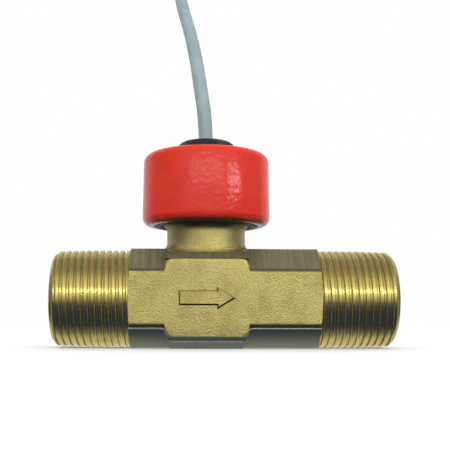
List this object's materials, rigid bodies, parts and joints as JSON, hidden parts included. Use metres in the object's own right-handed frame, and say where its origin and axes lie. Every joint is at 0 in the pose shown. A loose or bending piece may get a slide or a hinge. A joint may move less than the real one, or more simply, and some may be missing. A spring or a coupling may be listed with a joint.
{
  "type": "turbine flow meter",
  "caption": "Inline turbine flow sensor: forged brass pipe body with taper threads, red sensor head and grey signal cable; a bladed wheel spins inside on jewel bearings.",
  "frame": {"origin": "centre of the inlet end face on the flow axis", "axes": "+X along the flow, from inlet to outlet; +Z towards the sensor head; the arrow face is at -Y"},
  "size_m": [0.116, 0.1341, 0.1614],
  "materials": {
    "brass": "hot-forged, sand-blasted faces, turned thread ends",
    "white_polymer": "moulded",
    "grey_polymer": "moulded",
    "jewel": "polished",
    "spring_steel": "phosphated",
    "hard_metal": "ground",
    "magnet": "plated",
    "red_plastic": "softly glossy moulding",
    "black_rubber": "smooth",
    "black_plastic": "moulded",
    "board": "solder mask",
    "cable_jacket": "extruded",
    "core_brown": "extruded",
    "core_white": "extruded",
    "core_green": "extruded",
    "tinned_copper": "crimped"
  },
  "bodies": {
    "meter": {"body": "brass", "flow_straightener": "white_polymer", "outlet_support": "white_polymer", "inlet_bearing": "jewel", "outlet_bearing": "jewel", "inlet_retaining_ring": "spring_steel", "outlet_retaining_ring": "spring_steel", "cap": "red_plastic", "cap_seal": "black_rubber", "cable_grommet": "black_rubber", "sensor_carrier": "black_plastic", "circuit_board": "board", "hall_sensor": "black_plastic", "cable": "cable_jacket", "cable_coil": "cable_jacket", "cable_tail": "cable_jacket", "coil_tie": "black_plastic", "inner_core_brown": "core_brown", "end_core_brown": "core_brown", "end_sleeve_brown": "tinned_copper", "inner_core_white": "core_white", "end_core_white": "core_white", "end_sleeve_white": "tinned_copper", "inner_core_green": "core_green", "end_core_green": "core_green", "end_sleeve_green": "tinned_copper"},
    "wheel": {"rotor": "grey_polymer", "rotor_shaft": "hard_metal", "rotor_magnet_1": "magnet", "rotor_magnet_2": "magnet", "rotor_magnet_3": "magnet", "rotor_magnet_4": "magnet", "rotor_magnet_5": "magnet", "rotor_magnet_6": "magnet"}
  },
  "joints": [
    {"name": "rotor_spin", "type": "hinge", "parent": "meter", "child": "wheel", "pos_m": [0.052, 0, 0], "axis": [1, 0, 0], "continuous": true}
  ]
}
